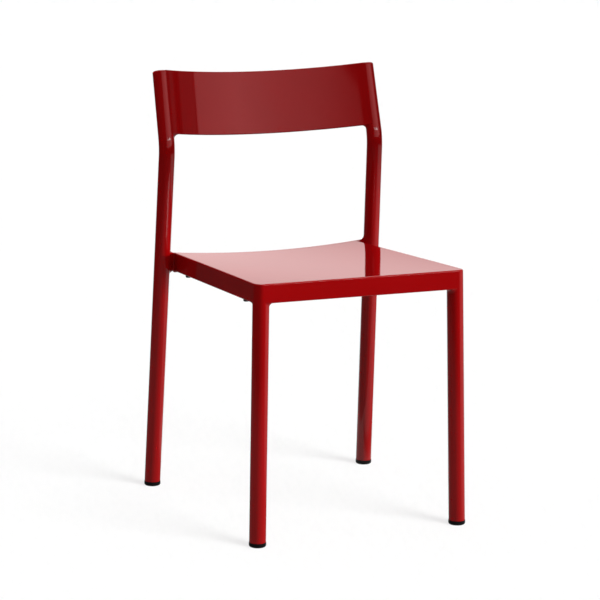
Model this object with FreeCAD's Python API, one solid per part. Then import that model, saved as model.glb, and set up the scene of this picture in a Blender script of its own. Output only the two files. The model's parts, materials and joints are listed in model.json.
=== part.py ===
import FreeCAD, Part
import math
import os

from FreeCAD import Vector

# Stackable metal chair: welded round tubes, a dished sheet seat on box rails, and a curved sheet backrest.
# Millimetres. +Z is up and the chair faces -Y. While it is built, Y is 0 at the seat's front edge.
# At the end everything moves together, so that the origin is on the floor in the middle of the whole chair.

# Round tubes of the four legs
TUBE_DIAMETER = 30.0
TUBE_WALL = 2.5
FRONT_LEG_SPLAY = 1.05
FRONT_LEG_RAKE = 1.9
REAR_LEG_SPLAY = 0.9
REAR_LEG_RAKE = 4.05

# Upper part of the rear tubes, which carries the backrest
BEND_HEIGHT = 659.0
BEND_RADIUS = 100.0
BACK_RECLINE = 17.3
BACK_TAPER = 1.08
STILE_TOP_HEIGHT = 797.0
CAP_THICKNESS = 4.0
CAP_EDGE_RADIUS = 3.5
CAP_SPIGOT_LENGTH = 4.0
CAP_SPIGOT_CLEARANCE = 0.1

# Seat sheet
SEAT_FRONT_HEIGHT = 474.0
SEAT_DROP = 19.0
SEAT_DEPTH = 429.0
SEAT_FRONT_WIDTH = 410.0
SEAT_REAR_WIDTH = 380.0
SEAT_DISH = 9.0
SEAT_SHEET = 3.0
SEAT_EDGE_RADIUS = 2.4

# Box rails under the seat, and the rail along its rear edge that joins the rear tubes
RAIL_HEIGHT = 32.0
RAIL_THICKNESS = 15.0
RAIL_WALL = 2.0
REAR_RAIL_THICKNESS = 10.0
REAR_RAIL_OVERHANG = 12.3
FLUSH_RECESS = 0.3

# Weld blends in the corners between rails, backrest and tubes
FRONT_BLEND = 6.0
REAR_TOP_BLEND = 8.0
REAR_LOWER_BLEND = 7.0
BACK_BLEND = 6.0
BLEND_RECESS = 0.1

# Curved backrest sheet
BACK_HEIGHT = 121.0
BACK_SHEET = 4.0
BACK_RADIUS = 430.0
BACK_EDGE_CHAMFER = 1.0

# Plastic glides under the four tubes
GLIDE_OVERHANG = 0.5
GLIDE_HEIGHT = 8.0
GLIDE_EDGE_RADIUS = 3.5
GLIDE_STEM_DIAMETER = 20.0
GLIDE_STEM_LENGTH = 18.0
GLIDE_RIB_THICKNESS = 1.5
GLIDE_RIB_SPACING = 5.0
GLIDE_RIB_CLEARANCE = 0.2

# Plastic bumpers under the side rails, on which a stacked chair rests
BUMPER_DIAMETER = 10.0
BUMPER_HEIGHT = 3.0
BUMPER_EDGE_RADIUS = 1.5
BUMPER_STEM_DIAMETER = 5.0
BUMPER_STEM_LENGTH = 6.0
BUMPER_HOLE_CLEARANCE = 0.1
BUMPER_FRONT_SETBACK = 67.0
BUMPER_REAR_SETBACK = 58.0

# How far cutting bodies run past what they cut
REACH = 60.0
CUT_HALF_WIDTH = max(SEAT_FRONT_WIDTH, SEAT_REAR_WIDTH) / 2 + REACH

# Share of a round piece's height past which an edge counts as the one at its far end
FAR_SHARE = 0.75

TUBE_RADIUS = TUBE_DIAMETER / 2
BORE_RADIUS = TUBE_RADIUS - TUBE_WALL
APRON_HEIGHT = SEAT_SHEET + RAIL_HEIGHT
ACROSS = Vector(1, 0, 0)


def slope(degrees):
    return math.tan(math.radians(degrees))


def unit(vector):
    return Vector(vector).normalize()


def mirrored(shape):
    """The same piece on the left side of the chair."""
    return shape.mirror(Vector(0, 0, 0), ACROSS)


def rod(start, end, radius):
    return Part.makeCylinder(radius, (end - start).Length, start, end - start)


def slanted_bar(corner, along, inward, down):
    """A solid bar from one top corner and its three edge vectors."""
    outline = [corner, corner + inward, corner + inward + down, corner + down, corner]
    return Part.Face(Part.makePolygon(outline)).extrude(along)


def box_tube(corner, along, inward, down):
    """A hollow bar with open ends. inward and down are the edges of its section."""
    side = unit(inward) * RAIL_WALL
    lid = unit(down) * RAIL_WALL
    outer = slanted_bar(corner, along, inward, down)
    bore = slanted_bar(corner + side + lid, along, inward - side * 2, down - lid * 2)
    return outer.cut(bore)


def blend_web(corner, along, up, through, radius, into):
    """A weld blend in the corner of a rail and a tube: a web with one hollow round side.

    along points away from the tube and up away from the rail. The web goes into the tube by the length into.
    """
    rail_end = corner + along * radius
    tube_end = corner + up * radius
    middle = rail_end + up * radius - (along + up).normalize() * radius
    into_rail = up * -RAIL_WALL
    into_tube = along * -into
    edges = [
        Part.Arc(rail_end, middle, tube_end).toShape(),
        Part.makeLine(tube_end, tube_end + into_tube),
        Part.makeLine(tube_end + into_tube, corner + into_tube + into_rail),
        Part.makeLine(corner + into_tube + into_rail, rail_end + into_rail),
        Part.makeLine(rail_end + into_rail, rail_end),
    ]
    return Part.Face(Part.Wire(edges)).extrude(through)


def middle_of(edge):
    return edge.valueAt((edge.FirstParameter + edge.LastParameter) / 2)


def round_edges(shape, radius, chosen):
    """Rounds the edges whose middle point passes the test."""
    return shape.makeFillet(radius, [e for e in shape.Edges if chosen(middle_of(e))])


# The seat's dished top surface

def side_height(y):
    """Height of the seat's top along its side edges."""
    return SEAT_FRONT_HEIGHT - SEAT_DROP * y / SEAT_DEPTH


def top_height(x, y):
    """Height of the seat's top anywhere: straight at the front edge, dished towards the rear."""
    dish = SEAT_DISH * y / SEAT_DEPTH
    return side_height(y) - dish * (1 - (2 * x / SEAT_REAR_WIDTH) ** 2)


def slab_section(y, low, high):
    """The dished form cut square to Y, between two offsets from the seat's top."""
    across = (-CUT_HALF_WIDTH, 0, CUT_HALF_WIDTH)
    lower = [Vector(x, y, top_height(x, y) + low) for x in across]
    upper = [Vector(x, y, top_height(x, y) + high) for x in across]
    return Part.Wire([
        Part.Arc(*lower).toShape(),
        Part.makeLine(lower[2], upper[2]),
        Part.Arc(*reversed(upper)).toShape(),
        Part.makeLine(upper[0], lower[0]),
    ])


def seat_slab(low, high):
    """The seat's dished form, wider and deeper than the seat, between two offsets from its top."""
    sections = [slab_section(y, low, high) for y in (-TUBE_RADIUS, SEAT_DEPTH + REACH)]
    return Part.makeLoft(sections, True, True)


# Centre lines of the tubes on the right side

FRONT_LEG_TOP = Vector(SEAT_FRONT_WIDTH / 2 - TUBE_RADIUS, TUBE_RADIUS, SEAT_FRONT_HEIGHT)
FRONT_LEG_UP = Vector(-slope(FRONT_LEG_SPLAY), slope(FRONT_LEG_RAKE), 1)
REAR_LEG_UP = Vector(-slope(REAR_LEG_SPLAY), -slope(REAR_LEG_RAKE), 1)
BACK_UP = Vector(-slope(BACK_TAPER), slope(BACK_RECLINE), 1)
RAIL_MIDDLE_HEIGHT = side_height(SEAT_DEPTH) - APRON_HEIGHT / 2
STILE_AT_RAIL = Vector(
    SEAT_REAR_WIDTH / 2 + REAR_RAIL_OVERHANG + TUBE_RADIUS,
    SEAT_DEPTH + REAR_RAIL_THICKNESS + FLUSH_RECESS - TUBE_RADIUS,
    RAIL_MIDDLE_HEIGHT,
)


def front_leg_point(z):
    return FRONT_LEG_TOP + FRONT_LEG_UP * (z - FRONT_LEG_TOP.z)


def rear_leg_point(z):
    return STILE_AT_RAIL + REAR_LEG_UP * (z - STILE_AT_RAIL.z)


BEND_POINT = rear_leg_point(BEND_HEIGHT)
STILE_TOP = BEND_POINT + BACK_UP * (STILE_TOP_HEIGHT - BEND_HEIGHT)
CAP_SEAT = STILE_TOP - unit(BACK_UP) * CAP_THICKNESS


# Tubes, as solid rods and as hollow pieces

def level_cut():
    """Everything below the level cut at the foot of the tubes."""
    width = 2 * CUT_HALF_WIDTH
    low_corner = Vector(-width / 2, -width / 2, GLIDE_HEIGHT - 2 * REACH)
    return Part.makeBox(width, width + SEAT_DEPTH, 2 * REACH, low_corner)


def front_leg_rod(radius):
    """The right front leg, from its glide up to the underside of the seat sheet."""
    body = rod(front_leg_point(-REACH), front_leg_point(SEAT_FRONT_HEIGHT + RAIL_HEIGHT), radius)
    return body.cut([seat_slab(-SEAT_SHEET, 2 * REACH), level_cut()])


def front_leg():
    return front_leg_rod(TUBE_RADIUS).cut(front_leg_rod(BORE_RADIUS))


def stile_rod(radius, top):
    """The right rear tube: straight from its glide, one bend above the seat, straight up to top."""
    lower = unit(REAR_LEG_UP)
    upper = unit(BACK_UP)
    turn = lower.getAngle(upper)
    bend_start = BEND_POINT - lower * (BEND_RADIUS * math.tan(turn / 2))
    bend_end = BEND_POINT + upper * (BEND_RADIUS * math.tan(turn / 2))
    to_center = unit(upper - lower)
    bend_middle = BEND_POINT + to_center * (BEND_RADIUS / math.cos(turn / 2) - BEND_RADIUS)
    start = rear_leg_point(-REACH)
    path = Part.Wire([
        Part.makeLine(start, bend_start),
        Part.Arc(bend_start, bend_middle, bend_end).toShape(),
        Part.makeLine(bend_end, top),
    ])
    profile = Part.Wire([Part.makeCircle(radius, start, lower)])
    return path.makePipeShell([profile], True, False).cut(level_cut())


def rear_stile():
    return stile_rod(TUBE_RADIUS, CAP_SEAT).cut(stile_rod(BORE_RADIUS, CAP_SEAT))


def stile_cap():
    """A round cap with an eased rim, and a spigot that centres it in the tube."""
    way = unit(BACK_UP)
    disc = rod(CAP_SEAT, STILE_TOP, TUBE_RADIUS)
    radius = min(CAP_EDGE_RADIUS, CAP_THICKNESS - BLEND_RECESS)
    disc = round_edges(disc, radius, lambda p: (p - CAP_SEAT).dot(way) > FAR_SHARE * CAP_THICKNESS)
    spigot_end = CAP_SEAT - way * CAP_SPIGOT_LENGTH
    return disc.fuse(rod(spigot_end, CAP_SEAT, BORE_RADIUS - CAP_SPIGOT_CLEARANCE))


# Seat edges in plan

def side_tangent():
    """Where the straight side edge leaves the round front corner, in plan."""
    center = Vector(FRONT_LEG_TOP.x, FRONT_LEG_TOP.y, 0)
    to_rear = REAR_CORNER - center
    lean = math.asin(TUBE_RADIUS / to_rear.Length) - math.atan2(to_rear.x, to_rear.y)
    return center + Vector(math.cos(lean), math.sin(lean), 0) * TUBE_RADIUS


def on_side_edge(point):
    return Vector(point.x, point.y, side_height(point.y))


REAR_CORNER = Vector(SEAT_REAR_WIDTH / 2, SEAT_DEPTH, 0)
SIDE_START = on_side_edge(side_tangent())
SIDE_END = on_side_edge(REAR_CORNER)
SIDE_ALONG = unit(SIDE_END - SIDE_START)
SIDE_INWARD = unit(Vector(-SIDE_ALONG.y, SIDE_ALONG.x, 0))
SIDE_DOWN = Vector(slope(FRONT_LEG_SPLAY), 0, -1)
FRONT_DOWN = Vector(0, -slope(FRONT_LEG_RAKE), -1)
REAR_DOWN = Vector(0, slope(REAR_LEG_RAKE), -1)
SIDE_CORNER = SIDE_START + SIDE_INWARD * FLUSH_RECESS + SIDE_DOWN * SEAT_SHEET


def rear_bar(half_width, setback, thickness):
    """A tall bar across the rear of the seat, slanted like the rear tubes."""
    half_down = APRON_HEIGHT / 2 + REACH
    corner = Vector(-half_width, SEAT_DEPTH + setback, RAIL_MIDDLE_HEIGHT) - REAR_DOWN * half_down
    across = ACROSS * (2 * half_width)
    return slanted_bar(corner, across, Vector(0, thickness, 0), REAR_DOWN * (2 * half_down))


def behind_seat():
    return rear_bar(CUT_HALF_WIDTH, 0, 2 * REACH)


# Rails and sheets

def front_rail():
    """The box rail between the front legs, coped to both, with a blend under each end."""
    leg = front_leg_rod(TUBE_RADIUS)
    length = ACROSS * (2 * FRONT_LEG_TOP.x)
    corner = Vector(-FRONT_LEG_TOP.x, FLUSH_RECESS, SEAT_FRONT_HEIGHT) + FRONT_DOWN * SEAT_SHEET
    inward = Vector(0, RAIL_THICKNESS, side_height(RAIL_THICKNESS) - SEAT_FRONT_HEIGHT)
    rail = box_tube(corner, length, inward, FRONT_DOWN * RAIL_HEIGHT)
    underside = SEAT_FRONT_HEIGHT - APRON_HEIGHT
    web_corner = corner + FRONT_DOWN * RAIL_HEIGHT + Vector(0, BLEND_RECESS, 0)
    web_corner.x = front_leg_point(underside).x - TUBE_RADIUS
    through = unit(inward) * (RAIL_THICKNESS - 2 * BLEND_RECESS)
    web = blend_web(web_corner, -ACROSS, unit(FRONT_DOWN), through, FRONT_BLEND, TUBE_RADIUS)
    rail = rail.fuse([web, mirrored(web)])
    return rail.cut([seat_slab(-SEAT_SHEET, REACH), leg, mirrored(leg)])


def bumper_axis(setback):
    """Where a bumper meets the underside of the right side rail, and the way it points."""
    middle = SIDE_CORNER + SIDE_DOWN * RAIL_HEIGHT + SIDE_INWARD * (RAIL_THICKNESS / 2)
    seat = middle + SIDE_ALONG * ((setback - middle.y) / SIDE_ALONG.y)
    return seat, unit(SIDE_ALONG.cross(SIDE_INWARD)) * -1


def side_rail():
    """The right box rail, from the front leg to the rear rail, with holes for its two bumpers."""
    leg = front_leg_rod(TUBE_RADIUS)
    length = SIDE_ALONG * ((SIDE_END - SIDE_START).Length + REACH)
    rail = box_tube(SIDE_CORNER, length, SIDE_INWARD * RAIL_THICKNESS, SIDE_DOWN * RAIL_HEIGHT)
    web_y = front_leg_point(SEAT_FRONT_HEIGHT - APRON_HEIGHT).y + TUBE_RADIUS
    web_corner = SIDE_CORNER + SIDE_DOWN * RAIL_HEIGHT + SIDE_INWARD * BLEND_RECESS
    web_corner += SIDE_ALONG * ((web_y - web_corner.y) / SIDE_ALONG.y)
    through = SIDE_INWARD * (RAIL_THICKNESS - 2 * BLEND_RECESS)
    web = blend_web(web_corner, SIDE_ALONG, unit(SIDE_DOWN), through, FRONT_BLEND, TUBE_RADIUS)
    holes = []
    for setback in (BUMPER_FRONT_SETBACK, SEAT_DEPTH - BUMPER_REAR_SETBACK):
        seat, way = bumper_axis(setback)
        radius = BUMPER_STEM_DIAMETER / 2 + BUMPER_HOLE_CLEARANCE
        holes.append(rod(seat + way * RAIL_WALL, seat - way * (2 * RAIL_WALL), radius))
    return rail.fuse(web).cut([seat_slab(-SEAT_SHEET, REACH), behind_seat(), leg] + holes)


def rear_rail():
    """The box rail between the rear tubes: dished like the seat, flush with it, coped and blended."""
    stile = stile_rod(TUBE_RADIUS, STILE_TOP)
    half = STILE_AT_RAIL.x
    outer = seat_slab(-APRON_HEIGHT, 0).common(rear_bar(half, 0, REAR_RAIL_THICKNESS))
    bore = seat_slab(RAIL_WALL - APRON_HEIGHT, -RAIL_WALL)
    bore = bore.common(rear_bar(half, RAIL_WALL, REAR_RAIL_THICKNESS - 2 * RAIL_WALL))
    through = Vector(0, REAR_RAIL_THICKNESS - 2 * BLEND_RECESS, 0)
    webs = []
    for drop, way, radius in ((0, -REAR_DOWN, REAR_TOP_BLEND), (APRON_HEIGHT, REAR_DOWN, REAR_LOWER_BLEND)):
        face_y = SEAT_DEPTH + (drop - APRON_HEIGHT / 2) * slope(REAR_LEG_RAKE) + BLEND_RECESS
        x = rear_leg_point(RAIL_MIDDLE_HEIGHT + APRON_HEIGHT / 2 - drop).x - TUBE_RADIUS
        corner = Vector(x, face_y, top_height(x, face_y) - drop)
        web = blend_web(corner, -ACROSS, unit(way), through, radius, TUBE_RADIUS)
        webs += [web, mirrored(web)]
    return outer.cut(bore).fuse(webs).cut([stile, mirrored(stile)])


def seat_panel():
    """The seat sheet: round front corners over the legs, straight sides, eased top edges."""
    front = Vector(FRONT_LEG_TOP.x, 0, 0)
    corner_middle = Vector(FRONT_LEG_TOP.x, FRONT_LEG_TOP.y, 0) + Vector(1, -1, 0).normalize() * TUBE_RADIUS
    tangent = side_tangent()
    rear = REAR_CORNER + (REAR_CORNER - tangent).normalize() * REACH

    def left(point):
        return Vector(-point.x, point.y, point.z)

    outline = Part.Wire([
        Part.makeLine(left(front), front),
        Part.Arc(front, corner_middle, tangent).toShape(),
        Part.makeLine(tangent, rear),
        Part.makeLine(rear, left(rear)),
        Part.makeLine(left(rear), left(tangent)),
        Part.Arc(left(tangent), left(corner_middle), left(front)).toShape(),
    ])
    prism = Part.Face(outline).extrude(Vector(0, 0, 2 * SEAT_FRONT_HEIGHT))
    sheet = seat_slab(-SEAT_SHEET, 0).common(prism).cut(behind_seat())
    top_only = SEAT_SHEET * (1 - FAR_SHARE)
    return round_edges(
        sheet,
        min(SEAT_EDGE_RADIUS, SEAT_SHEET - BLEND_RECESS),
        lambda p: p.y < SEAT_DEPTH - RAIL_THICKNESS and p.z > top_height(p.x, p.y) - top_only,
    )


BACK_LEAN = Vector(0, math.sin(math.radians(BACK_RECLINE)), math.cos(math.radians(BACK_RECLINE)))
BACKWARD = Vector(0, BACK_LEAN.z, -BACK_LEAN.y)
BACK_CENTER_DEPTH = math.sqrt((BACK_RADIUS + TUBE_RADIUS - FLUSH_RECESS) ** 2 - STILE_TOP.x ** 2)


def back_center(axis):
    """The sheet's centre of curvature at the height of a point on a tube's centre line."""
    return Vector(0, axis.y, axis.z) - BACKWARD * BACK_CENTER_DEPTH


def back_front_radius(axis):
    """The radius of the sheet's front at that height, which keeps it tangent to the converging tubes."""
    return math.hypot(axis.x, BACK_CENTER_DEPTH) - TUBE_RADIUS + FLUSH_RECESS


def back_point(axis, depth, angle):
    """A point at a depth behind the sheet's front, at an angle from the chair's middle plane."""
    outward = ACROSS * math.sin(angle) + BACKWARD * math.cos(angle)
    return back_center(axis) + outward * (back_front_radius(axis) + depth)


def back_web(axis):
    """The weld blend under the sheet's right end, where the middle of its thickness meets the tube."""
    middle = back_front_radius(axis) + BACK_SHEET / 2
    into = math.sqrt(TUBE_RADIUS ** 2 - (math.hypot(axis.x, BACK_CENTER_DEPTH) - middle) ** 2)
    angle = math.atan2(axis.x, BACK_CENTER_DEPTH) - into / middle
    outward = ACROSS * math.sin(angle) + BACKWARD * math.cos(angle)
    to_middle = BACKWARD * math.sin(angle) - ACROSS * math.cos(angle)
    through = outward * (BACK_SHEET - 2 * BLEND_RECESS)
    return blend_web(back_point(axis, BLEND_RECESS, angle), to_middle, -BACK_LEAN, through, BACK_BLEND, into)


def backrest_panel():
    """The curved sheet with eased edges, tangent to the fronts of both tubes, coped and blended to them."""
    stile = stile_rod(TUBE_RADIUS, STILE_TOP + unit(BACK_UP) * REACH)
    low = STILE_TOP - unit(BACK_UP) * BACK_HEIGHT
    half_angle = math.atan2(low.x, BACK_CENTER_DEPTH)
    corners = [(low, 0), (low, BACK_SHEET), (STILE_TOP, BACK_SHEET), (STILE_TOP, 0), (low, 0)]
    outline = Part.makePolygon([back_point(axis, depth, -half_angle) for axis, depth in corners])
    sheet = Part.Face(outline).revolve(back_center(low), BACK_LEAN, -2 * math.degrees(half_angle))
    long_edges = [e for e in sheet.Edges if abs(middle_of(e).x) < BACK_SHEET]
    sheet = sheet.makeChamfer(BACK_EDGE_CHAMFER, long_edges)
    web = back_web(low)
    return sheet.fuse([web, mirrored(web)]).cut([stile, mirrored(stile)])


# Plastic pieces

def foot_glide(axis_point, tube_up):
    """A glide: a round head that stands flat on the floor, and a ribbed stem up the tube's bore."""
    top = axis_point(GLIDE_HEIGHT)
    foot = Vector(top.x, top.y, 0)
    head = rod(foot, top, TUBE_RADIUS + GLIDE_OVERHANG)
    head = round_edges(head, GLIDE_EDGE_RADIUS, lambda p: p.z < (1 - FAR_SHARE) * GLIDE_HEIGHT)
    way = unit(tube_up)
    inside_head = top - way * (GLIDE_HEIGHT / 2)
    parts = [rod(inside_head, top + way * GLIDE_STEM_LENGTH, GLIDE_STEM_DIAMETER / 2)]
    ribs = int((GLIDE_STEM_LENGTH - GLIDE_RIB_THICKNESS) // GLIDE_RIB_SPACING)
    for i in range(1, ribs + 1):
        start = top + way * (GLIDE_RIB_SPACING * i)
        parts.append(rod(start, start + way * GLIDE_RIB_THICKNESS, BORE_RADIUS - GLIDE_RIB_CLEARANCE))
    return head.fuse(parts)


def stacking_bumper(setback):
    """A round-edged button under the side rail, with a stem through the rail's lower wall."""
    seat, way = bumper_axis(setback)
    end = seat + way * BUMPER_HEIGHT
    head = rod(seat, end, BUMPER_DIAMETER / 2)
    head = round_edges(head, BUMPER_EDGE_RADIUS, lambda p: (p - seat).dot(way) > FAR_SHARE * BUMPER_HEIGHT)
    return head.fuse(rod(seat - way * BUMPER_STEM_LENGTH, seat, BUMPER_STEM_DIAMETER / 2))


def build():
    """Every piece by its node's name, in the building frame."""
    pieces = {
        "front_rail": front_rail(),
        "rear_rail": rear_rail(),
        "seat_panel": seat_panel(),
        "backrest_panel": backrest_panel(),
    }
    right = {
        "front_leg": front_leg(),
        "rear_stile": rear_stile(),
        "stile_cap": stile_cap(),
        "side_rail": side_rail(),
        "front_glide": foot_glide(front_leg_point, FRONT_LEG_UP),
        "rear_glide": foot_glide(rear_leg_point, REAR_LEG_UP),
        "front_bumper": stacking_bumper(BUMPER_FRONT_SETBACK),
        "rear_bumper": stacking_bumper(SEAT_DEPTH - BUMPER_REAR_SETBACK),
    }
    for name, shape in right.items():
        pieces[name + "_right"] = shape
        pieces[name + "_left"] = mirrored(shape)
    return pieces


def middle_y(pieces):
    """The middle of the whole chair from front to rear."""
    box = Part.makeCompound(list(pieces.values())).optimalBoundingBox(False, False)
    return (box.YMin + box.YMax) / 2


os.makedirs("parts", exist_ok=True)
PIECES = build()
SHIFT = Vector(0, -middle_y(PIECES), 0)
for node, piece in PIECES.items():
    piece.translate(SHIFT)
    piece.exportStep(f"parts/{node}.step")
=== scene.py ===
import json
import math

import bpy
from mathutils import Matrix, Vector

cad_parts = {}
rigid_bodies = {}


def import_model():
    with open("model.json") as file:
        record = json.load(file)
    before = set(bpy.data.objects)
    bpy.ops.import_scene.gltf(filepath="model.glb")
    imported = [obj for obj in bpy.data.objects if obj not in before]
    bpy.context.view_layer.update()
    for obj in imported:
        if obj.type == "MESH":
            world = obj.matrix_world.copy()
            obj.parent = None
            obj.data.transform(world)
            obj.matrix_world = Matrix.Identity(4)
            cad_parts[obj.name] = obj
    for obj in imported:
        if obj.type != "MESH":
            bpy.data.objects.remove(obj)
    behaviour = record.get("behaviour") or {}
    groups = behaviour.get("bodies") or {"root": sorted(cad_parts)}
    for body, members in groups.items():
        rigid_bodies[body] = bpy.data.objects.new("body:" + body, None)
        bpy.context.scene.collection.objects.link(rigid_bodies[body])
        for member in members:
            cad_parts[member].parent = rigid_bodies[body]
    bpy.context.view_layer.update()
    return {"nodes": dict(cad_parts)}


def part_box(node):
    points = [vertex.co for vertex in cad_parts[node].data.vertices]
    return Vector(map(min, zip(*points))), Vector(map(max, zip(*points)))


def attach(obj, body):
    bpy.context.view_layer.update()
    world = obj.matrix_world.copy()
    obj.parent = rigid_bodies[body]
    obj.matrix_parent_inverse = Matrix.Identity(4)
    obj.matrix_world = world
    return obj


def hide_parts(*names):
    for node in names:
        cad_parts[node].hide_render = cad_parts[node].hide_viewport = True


# Looks of a stackable metal chair: glossy red powder coat over welded tubes, box rails and sheets.
# Metres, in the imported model's frame: +Z is up and the chair faces -Y.

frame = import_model()

# Driving sizes, the same as in the solids. Splays, rakes, recline and taper are in degrees.
TUBE_RADIUS = 0.015
FRONT_LEG_SPLAY = 1.05
FRONT_LEG_RAKE = 1.9
REAR_LEG_SPLAY = 0.9
REAR_LEG_RAKE = 4.05
BEND_HEIGHT = 0.659
BEND_RADIUS = 0.1
BACK_RECLINE = 17.3
BACK_TAPER = 1.08
STILE_TOP_HEIGHT = 0.797
CAP_THICKNESS = 0.004
CAP_EDGE_RADIUS = 0.0035
SEAT_FRONT_HEIGHT = 0.474
SEAT_DROP = 0.019
SEAT_DEPTH = 0.429
SEAT_FRONT_WIDTH = 0.41
SEAT_REAR_WIDTH = 0.38
SEAT_DISH = 0.009
SEAT_SHEET = 0.003
RAIL_HEIGHT = 0.032
RAIL_THICKNESS = 0.015
REAR_RAIL_THICKNESS = 0.01
REAR_RAIL_OVERHANG = 0.0123
FLUSH_RECESS = 0.0003
BACK_HEIGHT = 0.121
BACK_SHEET = 0.004
BACK_RADIUS = 0.43
GLIDE_HEIGHT = 0.008

# Finish sizes that only the looks have. TUCK is how far a piece runs on into its neighbour.
TUBE_BORE_SHARE = 0.8
SEAT_FOLD_RADIUS = 0.003
RAIL_CORNER_RADIUS = 0.0018
REAR_RAIL_CORNER_RADIUS = 0.002
BACK_EDGE_RADIUS = 0.00195
TUBE_END_RADIUS = 0.0006
TUCK = 0.0006
BUMPER_RADIUS = 0.0052
BUMPER_RIM = 0.0012
BUMPER_BULGE = 0.0015

# Radii of the ground welds. The backrest's is smaller beside the sheet, and fades out below the sheet's top.
FRONT_WELD = 0.0085
REAR_FRONT_WELD = 0.013
REAR_BACK_WELD = 0.005
CORNER_WELD = 0.003
BACK_WELD = 0.01
BACK_WELD_SIDE_SHARE = 0.6
BACK_WELD_FRONT_HEIGHT = 0.02
BACK_WELD_FADE = 0.02
BACK_WELD_LEAST_SHARE = 0.1

# How finely round and curved shapes are divided
TUBE_SIDES = 64
ARC_STEPS = 8
BEND_STEPS = 10
TUBE_RUN = 0.03
RAIL_STATIONS = 14
REAR_RAIL_STATIONS = 40
BACKREST_STATIONS = 64
BACKREST_RUN = 0.012
SEAT_COLUMNS = 16
SEAT_CORNER_STEPS = 2 * ARC_STEPS
SEAT_SIDE_STEPS = 24
WELD_RUN = 0.0015
WELD_SEARCH = 0.05
WELD_SEARCH_STEPS = 40
LEAST_WELD_TURN = 0.001
TINY = 1e-7

APRON_HEIGHT = SEAT_SHEET + RAIL_HEIGHT
SEAT_FRONT_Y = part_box("seat_panel")[0].y
ACROSS = Vector((1, 0, 0))
QUARTER_TURN = math.pi / 2


def slope(degrees):
    return math.tan(math.radians(degrees))


def between(first, last, turn, share):
    """The direction at a share of the way from first to last, which are turn radians apart."""
    return (first * math.sin((1 - share) * turn) + last * math.sin(share * turn)) / math.sin(turn)


def quarter_turns():
    """The angles at which a quarter of a circle is divided, from 0 on."""
    return [QUARTER_TURN * k / ARC_STEPS for k in range(ARC_STEPS + 1)]


# A skin of points with exact normals

class Skin:
    """Points, their normals, and the faces between them."""

    def __init__(self):
        self.points = []
        self.normals = []
        self.faces = []

    def add_face(self, corners):
        """Adds a face turned the way its normals point, without corners that coincide."""
        kept = []
        for corner in corners:
            if all((self.points[corner] - self.points[k]).length > TINY for k in kept):
                kept.append(corner)
        if len(kept) < 3:
            return
        a, b, c = (self.points[k] for k in kept[:3])
        if (b - a).cross(c - a).dot(sum((self.normals[k] for k in kept), Vector())) < 0:
            kept.reverse()
        self.faces.append(kept)

    def grid(self, rows, wrap=False):
        """Adds rows of (point, normal) pairs and the faces between them. wrap closes each row."""
        start = len(self.points)
        width = len(rows[0])
        for row in rows:
            for point, normal in row:
                self.points.append(Vector(point))
                self.normals.append(Vector(normal).normalized())
        for j in range(len(rows) - 1):
            for i in range(width if wrap else width - 1):
                a = start + j * width + i
                b = start + j * width + (i + 1) % width
                self.add_face([a, b, b + width, a + width])

    def mirrored(self):
        """The same skin on the left side of the chair."""
        other = Skin()
        other.points = [Vector((-p.x, p.y, p.z)) for p in self.points]
        other.normals = [Vector((-n.x, n.y, n.z)) for n in self.normals]
        other.faces = [list(reversed(face)) for face in self.faces]
        return other

    def joined(self, other):
        """This skin and another one as one."""
        both = Skin()
        start = len(self.points)
        both.points = self.points + other.points
        both.normals = self.normals + other.normals
        both.faces = self.faces + [[start + k for k in face] for face in other.faces]
        return both


def make_piece(skin, name, material, node=None):
    """A skin as an object of the chair, which stands for a solid if one is named."""
    mesh = bpy.data.meshes.new(name)
    mesh.from_pydata(skin.points, [], skin.faces)
    mesh.shade_smooth()
    mesh.materials.append(material)
    mesh.normals_split_custom_set_from_vertices(skin.normals)
    piece = bpy.data.objects.new(name, mesh)
    bpy.context.scene.collection.objects.link(piece)
    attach(piece, "root")
    if node:
        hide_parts(node)
    return piece


def make_pair(skin, name, material, replaces=True):
    """The right and the left piece of a name."""
    for side, half in (("right", skin), ("left", skin.mirrored())):
        node = f"{name}_{side}"
        make_piece(half, f"{node}_coated", material, node if replaces else None)


# Centre lines and planes of the chair

def side_height(y):
    """Height of the seat's top along its side edges, y behind the seat's front."""
    return SEAT_FRONT_HEIGHT - SEAT_DROP * y / SEAT_DEPTH


def dish(x, y):
    """How far the seat's top lies below its side edges. Across, it is a parabola."""
    return SEAT_DISH * y / SEAT_DEPTH * (1 - (2 * x / SEAT_REAR_WIDTH) ** 2)


def rise_across(x, y):
    """How steeply the dished top rises towards the chair's right."""
    return SEAT_DISH * y / SEAT_DEPTH * 8 * x / SEAT_REAR_WIDTH ** 2


def seat_normal(x, y):
    """The normal of the seat's top."""
    rise_back = -(SEAT_DROP + dish(x, SEAT_DEPTH)) / SEAT_DEPTH
    return Vector((-rise_across(x, y), -rise_back, 1)).normalized()


def behind_front(x, y, z):
    """A point given by its distance behind the seat's front edge."""
    return Vector((x, SEAT_FRONT_Y + y, z))


def on_seat(x, y, depth=0.0):
    """A point of the seat's top, or at a depth below it."""
    return behind_front(x, y, side_height(y) - dish(x, y) - depth)


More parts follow.
